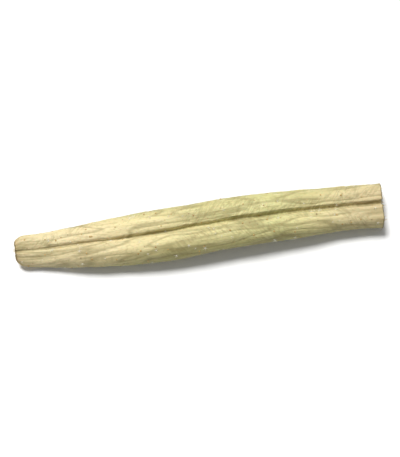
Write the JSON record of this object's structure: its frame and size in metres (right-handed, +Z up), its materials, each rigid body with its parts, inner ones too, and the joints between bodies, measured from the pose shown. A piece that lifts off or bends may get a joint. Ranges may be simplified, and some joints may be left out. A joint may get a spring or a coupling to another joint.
{
  "type": "dried rosemary leaf",
  "caption": "Dried, cut rosemary leaf: a narrow needle with rolled-under margins, a furrow above and a midrib below.",
  "frame": {"origin": "middle of the leaf's length and width, on the surface that it lies on", "axes": "+X along the leaf from the stub of its stalk to its cut end, +Z up out of the upper face"},
  "size_m": [0.011, 0.0016, 0.0009],
  "materials": {
    "dry_leaf": "matt, dry and finely wrinkled, olive straw above and whitish felt below"
  },
  "bodies": {
    "root": {"rosemary_leaf": "dry_leaf"}
  },
  "joints": []
}
